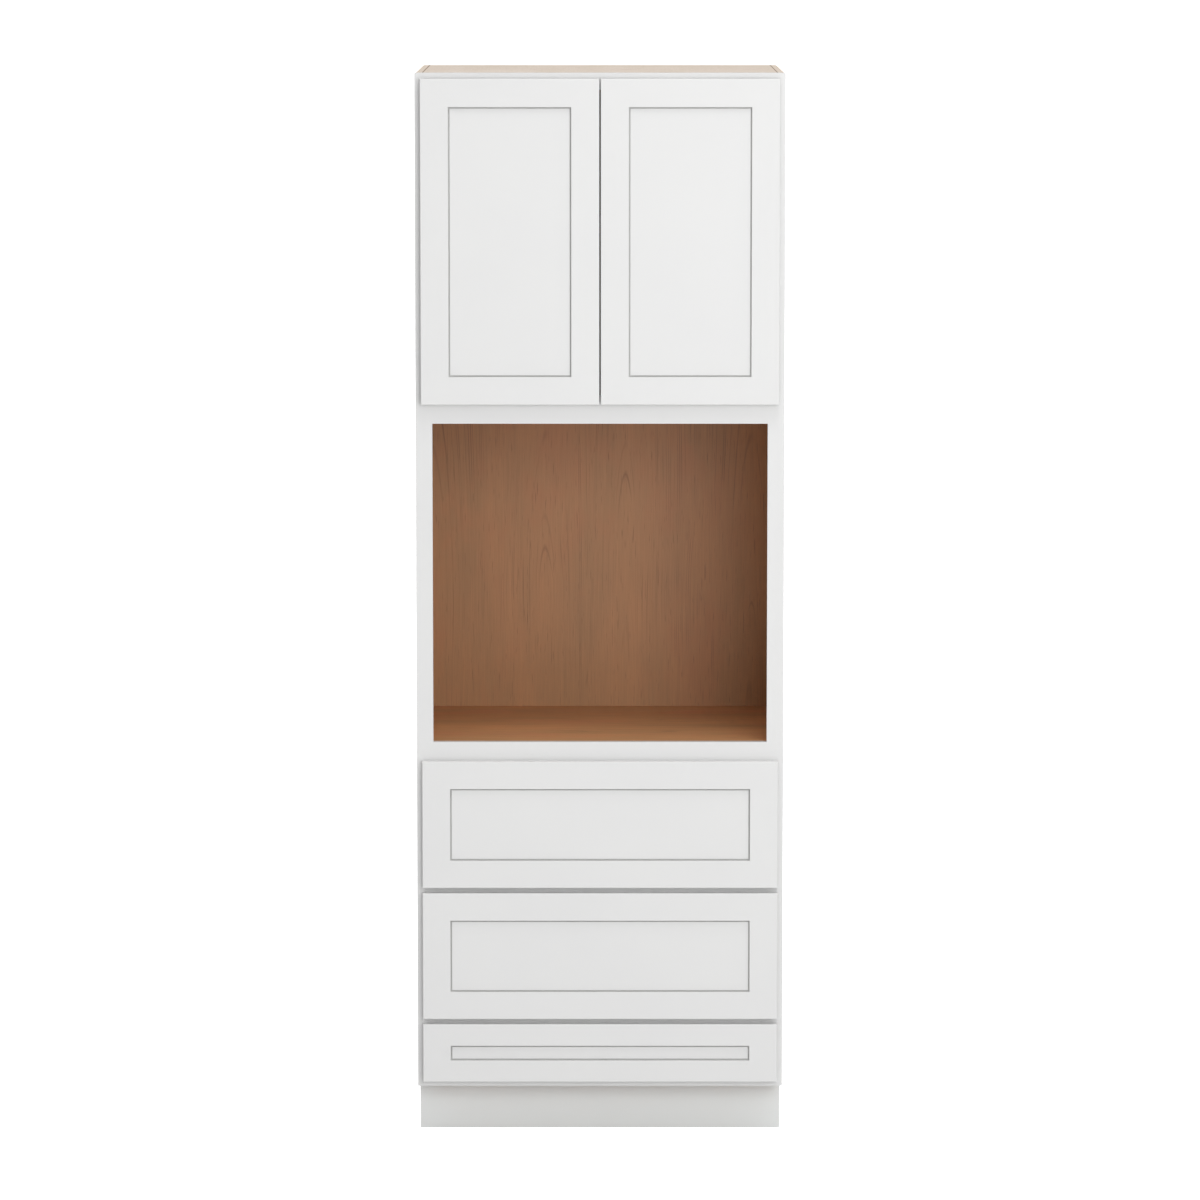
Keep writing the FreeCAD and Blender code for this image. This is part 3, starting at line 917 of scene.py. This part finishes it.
@dataclass(frozen=True)
class ScrewHead:
    """A pan head with a cross recess, standing on its flat side and facing up."""

    radius: float
    height: float
    recess: float = 1.1 * MM
    dome: float = 0.45
    cells: int = 5

    def shape(self) -> bmesh.types.BMesh:
        """Builds the head from a grid that is rounded, domed and pressed in.

        Returns:
            The closed head at the origin.
        """
        head = bmesh.new()
        bmesh.ops.create_grid(head, x_segments=self.cells, y_segments=self.cells, size=1.0)
        arm = round(2 / self.cells, 2)
        cross = [
            face for face in head.faces
            if sorted(round(abs(c), 2) for c in face.calc_center_median()[:2]) in ([0.0, 0.0], [0.0, arm])
        ]
        rim = [edge for edge in head.edges if edge.is_boundary]
        for vert in head.verts:
            x, y = vert.co.x, vert.co.y
            on_disc = Vector((x * math.sqrt(1 - y * y / 2), y * math.sqrt(1 - x * x / 2), 0.0))
            vert.co = on_disc * self.radius
            vert.co.z = self.height * (1 - self.dome * (vert.co.length / self.radius) ** 2)
        sunk = bmesh.ops.extrude_face_region(head, geom=cross)["geom"]
        bmesh.ops.translate(
            head, vec=(0, 0, -self.recess), verts=[v for v in sunk if isinstance(v, bmesh.types.BMVert)],
        )
        covers = [face for face in cross if face.is_valid]
        bmesh.ops.delete(head, geom=covers, context="FACES_KEEP_BOUNDARY")
        skirt = bmesh.ops.extrude_edge_only(head, edges=rim)["geom"]
        foot = [v for v in skirt if isinstance(v, bmesh.types.BMVert)]
        for vert in foot:
            vert.co.z = 0.0
        bmesh.ops.holes_fill(head, edges=[e for e in head.edges if e.is_boundary])
        return head


@dataclass(frozen=True)
class StickOnDot:
    """A soft stick-on bumper dot, flat below and domed above."""

    radius: float = 4.5 * MM
    height: float = 2.9 * MM
    sides: int = 20
    rows: int = 12

    def shape(self) -> bmesh.types.BMesh:
        """Builds the dot from the upper half of a flattened sphere.

        Returns:
            The closed dot at the origin, facing up.
        """
        dot = bmesh.new()
        bmesh.ops.create_uvsphere(dot, u_segments=self.sides, v_segments=self.rows, radius=1.0)
        bmesh.ops.bisect_plane(
            dot, geom=[*dot.verts, *dot.edges, *dot.faces],
            plane_co=(0, 0, 0), plane_no=(0, 0, 1), clear_inner=True,
        )
        bmesh.ops.holes_fill(dot, edges=[e for e in dot.edges if e.is_boundary])
        bmesh.ops.scale(dot, vec=(self.radius, self.radius, self.height), verts=dot.verts)
        return dot


@dataclass
class FaceFrame:
    """The white face frame and the toe kick skin below it."""

    nodes: tuple[str, ...] = (
        "frame_left_stile", "frame_right_stile", "frame_top_rail", "frame_upper_oven_rail",
        "frame_lower_oven_rail", "frame_upper_drawer_rail", "frame_lower_drawer_rail", "frame_bottom_rail",
    )

    def dress(self, paints: Paints) -> None:
        """Lacquers the frame and the toe kick."""
        paints.dress(LACQUER, self.nodes)
        # The toe kick gets the lighter copy of the lacquer, as painted light.
        paints.dress(TOE_LIGHTENED_LACQUER, ["toe_kick_skin"])


@dataclass
class CabinetBox:
    """The plywood box behind the frame, with its shelf, slides' fixed members and hinge arms."""

    back_screw_inset: float = 40.0 * MM
    back_screw_columns: int = 6
    band_thick: float = 0.6 * MM
    band_ease: float = 0.2 * MM
    hinge_from_end: float = HINGE_FROM_END
    arm_screw_spread: float = 15.0 * MM
    arm_screw: ScrewHead = ScrewHead(radius=3.2 * MM, height=1.4 * MM, recess=0.8 * MM)
    arm_face: float = 2.4 * MM
    back_screw: ScrewHead = ScrewHead(radius=4.5 * MM, height=2.0 * MM)

    def dress(self, paints: Paints) -> None:
        """Gives each board and fitting of the box its finish.

        Args:
            paints: the materials.
        """
        for side in Side:
            panel = f"{side.word}_side_panel"
            inner = min((corner.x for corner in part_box(panel)), key=abs)
            board = SideBoard(
                name=f"{side.word}_side_board", side=side, core=SIDE_PLY, coat=LACQUER, inner=inner,
            )
            paints.dress(board, [panel])
        paints.dress(BACK_PLY, ["back_panel"])
        paints.dress(DECK_PLY, ["oven_deck", "cupboard_floor", "adjustable_shelf", "bottom_panel"])
        paints.dress(TOP_PLY, ["top_panel"])
        paints.dress(RAIL_PLY, ["back_nailers", "toe_kick_board"])
        paints.dress(CLEAT_PLY, ["oven_deck_cleats", "slide_cleats"])
        paints.dress(ZINC, ["slide_cabinet_members"])
        paints.dress(NICKEL, ["hinge_arms", "shelf_pins"])

    def shelf_band(self) -> bmesh.types.BMesh:
        """Builds the veneer strip on the front edge of the shelf.

        Returns:
            The strip.
        """
        low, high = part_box("adjustable_shelf")
        band = bmesh.new()
        bmesh.ops.create_cube(band, size=1.0)
        bmesh.ops.scale(band, vec=(high.x - low.x, self.band_thick, high.z - low.z), verts=band.verts)
        middle = Vector(((low.x + high.x) / 2, low.y - self.band_thick / 2, (low.z + high.z) / 2))
        bmesh.ops.translate(band, vec=middle, verts=band.verts)
        bmesh.ops.bevel(
            band, geom=list(band.edges), offset=self.band_ease,
            affect="EDGES", segments=2, profile=0.5, material=-1,
        )
        return band

    def back_places(self) -> list[Matrix]:
        """Finds the screws that hold the back to the cupboard's floor.

        Returns:
            One place for each screw.
        """
        low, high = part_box("back_panel")
        level = sum(corner.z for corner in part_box("cupboard_floor")) / 2
        first, last = low.x + self.back_screw_inset, high.x - self.back_screw_inset
        step = (last - first) / (self.back_screw_columns - 1)
        return [
            facing(Vector((first + column * step, high.y, level)), TO_WALL)
            for column in range(self.back_screw_columns)
        ]

    def arm_places(self) -> list[Matrix]:
        """Finds the screws of the hinge plates on the inner edges of the frame.

        Returns:
            One place for each screw.
        """
        low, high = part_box("left_door_stiles")
        stile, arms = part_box("frame_left_stile"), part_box("hinge_arms")
        x = stile[1].x + self.arm_face
        y = (arms[1].y + stile[0].y) / 2
        levels = (low.z + self.hinge_from_end, high.z - self.hinge_from_end)
        return [
            facing(Vector((side.value * -x, y, z + rise)), Vector((-side.value, 0, 0)))
            for side in Side
            for z in levels
            for rise in (-self.arm_screw_spread, self.arm_screw_spread)
        ]

    def build(self, paints: Paints) -> None:
        """Adds the shelf's edge strip and the screws of the back and the hinge plates.

        Args:
            paints: the materials.
        """
        Piece("shelf_edge_band", "cabinet", "maple_veneer", LINING_LEVEL_LIT).place(self.shelf_band(), paints)
        screws = repeated(self.back_screw.shape(), self.back_places())
        Piece("back_screws", "cabinet", "zinc_steel", ZINC).place(screws, paints)
        screws = repeated(self.arm_screw.shape(), self.arm_places())
        Piece("hinge_plate_screws", "cabinet", "nickel_steel", NICKEL).place(screws, paints)


@dataclass
class Door:
    """One door above the oven, with its cup hinges."""

    side: Side
    hinge_from_end: float = HINGE_FROM_END
    cup_screw_spread: float = 24.0 * MM
    cup_screw: ScrewHead = ScrewHead(radius=3.4 * MM, height=1.4 * MM, recess=0.8 * MM)

    @property
    def body(self) -> str:
        """The CAD body that carries the door."""
        return f"{self.side.word}_door"

    def dress(self, paints: Paints) -> None:
        """Lacquers the door, and gives its hinges and bumpers their finish.

        Args:
            paints: the materials.
        """
        paints.dress(LACQUER, [f"{self.body}_{part}" for part in ("stiles", "rails")])
        paints.dress(PANEL_LACQUER_GROOVE_SHADE, [f"{self.body}_panel"])
        paints.dress(NICKEL, [f"{self.body}_{part}" for part in ("hinge_cups", "hinge_pins")])
        paints.dress(BUMPER, [f"{self.body}_bumpers"])

    def build(self, paints: Paints) -> None:
        """Adds the two screws of each hinge cup.

        Args:
            paints: the materials.
        """
        low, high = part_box(f"{self.body}_stiles")
        cup_low, cup_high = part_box(f"{self.body}_hinge_cups")
        x = (cup_low.x + cup_high.x) / 2
        places = [
            facing(Vector((x, cup_high.y, z + rise)), TO_WALL)
            for z in (low.z + self.hinge_from_end, high.z - self.hinge_from_end)
            for rise in (-self.cup_screw_spread, self.cup_screw_spread)
        ]
        screws = repeated(self.cup_screw.shape(), places)
        Piece(f"{self.body}_cup_screws", self.body, "nickel_steel", NICKEL).place(screws, paints)


@dataclass
class Drawer:
    """One drawer: its front, dovetailed box and the moving members of its slides."""

    word: str
    screw_rows: int
    stock: float = 15.9 * MM
    screw_columns: tuple[float, float] = (-0.62, 0.62)
    dot_inset: float = 12.0 * MM
    front_screw: ScrewHead = ScrewHead(radius=5.2 * MM, height=2.2 * MM, recess=1.2 * MM)
    dot: StickOnDot = StickOnDot()

    @property
    def body(self) -> str:
        """The CAD body that carries the drawer."""
        return f"{self.word}_drawer"

    def dress(self, paints: Paints) -> None:
        """Gives the front its lacquer, the box its clear coat and the slides their plating.

        Args:
            paints: the materials.
        """
        paints.dress(LACQUER, [f"{self.body}_front_{part}" for part in ("stiles", "rails")])
        paints.dress(PANEL_LACQUER_GROOVE_SHADE, [f"{self.body}_front_panel"])
        paints.dress(BOX_SIDE, [f"{self.body}_box_sides"])
        paints.dress(BOX_END, [f"{self.body}_box_ends"])
        paints.dress(BOX_FLOOR, [f"{self.body}_box_bottom"])
        paints.dress(ZINC, [f"{self.body}_slide_runners", f"{self.word}_slide_middle_members"])

    def screw_places(self) -> list[Matrix]:
        """Finds the screws that hold the front, on the inner face of the box's front end.

        Returns:
            One place for each screw.
        """
        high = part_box(f"{self.body}_box_sides")[1]
        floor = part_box(f"{self.body}_box_bottom")[1].z
        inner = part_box(f"{self.body}_box_ends")[0].y + self.stock
        room = high.z - floor
        rows = [floor + room * (row + 1) / (self.screw_rows + 1) for row in range(self.screw_rows)]
        return [
            facing(Vector((share * high.x, inner, z)), TO_WALL)
            for share in self.screw_columns
            for z in rows
        ]

    def dot_places(self) -> list[Matrix]:
        """Finds the bumper dots behind the corners of the front.

        Returns:
            One place for each dot.
        """
        low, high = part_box(f"{self.body}_front_stiles")
        return [
            facing(Vector((x, high.y, z)), TO_WALL)
            for x in (low.x + self.dot_inset, high.x - self.dot_inset)
            for z in (low.z + self.dot_inset, high.z - self.dot_inset)
        ]

    def build(self, paints: Paints) -> None:
        """Adds the screws of the front and its bumper dots.

        Args:
            paints: the materials.
        """
        screws = repeated(self.front_screw.shape(), self.screw_places())
        Piece(f"{self.body}_front_screws", self.body, "zinc_steel", ZINC).place(screws, paints)
        dots = repeated(self.dot.shape(), self.dot_places())
        Piece(f"{self.body}_dots", self.body, "bumper_plastic", BUMPER).place(dots, paints)


@dataclass(frozen=True)
class Softbox:
    """A square soft light: its name, its place, where it points, its size in metres and its watts."""

    name: str
    at: tuple[float, float, float]
    aim: tuple[float, float, float]
    size: float
    power: float

    def light(self) -> None:
        """Hangs the softbox, out of the camera's sight."""
        glow = bpy.data.lights.new(self.name, "AREA")
        glow.size, glow.energy = self.size, self.power
        lamp = set_up(self.name, glow)
        lamp.location = self.at
        lamp.rotation_euler = (Vector(self.aim) - Vector(self.at)).to_track_quat("-Z", "Y").to_euler()
        lamp.visible_camera = False


@dataclass
class Studio:
    """Pale floor, white backdrop, soft light from front right and above, and the photograph's camera."""

    floor_radius: float = 600.0
    floor_sides: int = 64
    floor_drop: float = 0.5 * MM
    sky: float = 0.8
    sky_rise: tuple[float, float] = (0.09, 0.24)
    lean: float = 0.3
    key: Softbox = Softbox(
        name="key_softbox", at=(1.8, -6.34, 2.42), aim=(0.0, -0.3, 1.2), size=3.2, power=136.0,
    )
    overhead: Softbox = Softbox(
        name="overhead_softbox", at=(0.6, -2.2, 6.6), aim=(0.0, -0.3, 1.4), size=2.0, power=69.0,
    )
    eye: tuple[float, float, float] = (0.0, -13.294, 2.833)
    pitch: float = 6.98
    lens: float = 172.4
    sensor: float = 36.0
    sight: float = 1000.0

    def floor(self, paints: Paints) -> None:
        """Lays the floor.

        Args:
            paints: the materials.
        """
        ground = bmesh.new()
        bmesh.ops.create_circle(ground, cap_ends=True, segments=self.floor_sides, radius=self.floor_radius)
        bmesh.ops.translate(ground, vec=(0, 0, -self.floor_drop), verts=ground.verts)
        mesh = bpy.data.meshes.new("studio_floor")
        ground.to_mesh(mesh)
        ground.free()
        mesh.materials.append(paints.of(FLOOR))
        made = set_up("studio_floor", mesh)

    def light(self) -> None:
        """Sets a sky that rises from the horizon and is brighter on the right, and hangs the softboxes.

        The camera sees a plain white backdrop instead of that sky.
        """
        world = bpy.data.worlds.new("studio_white")
        world.use_nodes = True
        tree = world.node_tree
        tree.nodes.clear()
        way = add(tree, "ShaderNodeSeparateXYZ", {0: add(tree, "ShaderNodeTexCoord").outputs["Generated"]})
        high = add(tree, "ShaderNodeMath", {
            0: way.outputs["X"], 1: self.lean * self.sky, 2: self.sky,
        }, operation="MULTIPLY_ADD")
        power = add(tree, "ShaderNodeMapRange", {
            "Value": way.outputs["Z"], "From Min": self.sky_rise[0], "From Max": self.sky_rise[1],
            "To Max": high.outputs[0],
        })
        seen = add(tree, "ShaderNodeLightPath").outputs["Is Camera Ray"]
        white = add(tree, "ShaderNodeMath", {0: power.outputs[0], 1: seen}, operation="MAXIMUM")
        glow = add(tree, "ShaderNodeBackground", {"Color": WHITE, "Strength": white.outputs[0]})
        add(tree, "ShaderNodeOutputWorld", {"Surface": glow.outputs[0]})
        bpy.context.scene.world = world
        for box in (self.key, self.overhead):
            box.light()

    def camera(self) -> None:
        """Sets the camera up in front, a little above the cabinet's top."""
        lens = bpy.data.cameras.new("photo_camera")
        lens.lens, lens.sensor_width = self.lens, self.sensor
        lens.clip_end = self.sight
        made = set_up("photo_camera", lens)
        made.location = self.eye
        made.rotation_euler = (math.radians(90 - self.pitch), 0, 0)
        bpy.context.scene.camera = made
        bpy.context.scene.view_settings.view_transform = "Standard"


def main() -> None:
    """Builds and dresses the cabinet's assemblies in order, then the studio."""
    logging.basicConfig(level=logging.INFO, format="%(message)s")
    paints = Paints()
    FaceFrame().dress(paints)
    drawers = [Drawer("upper", screw_rows=2), Drawer("middle", screw_rows=2), Drawer("lower", screw_rows=1)]
    for assembly in (CabinetBox(), *(Door(side) for side in Side), *drawers):
        assembly.dress(paints)
        assembly.build(paints)
    studio = Studio()
    studio.floor(paints)
    studio.light()
    studio.camera()


if __name__ == "__main__":
    main()
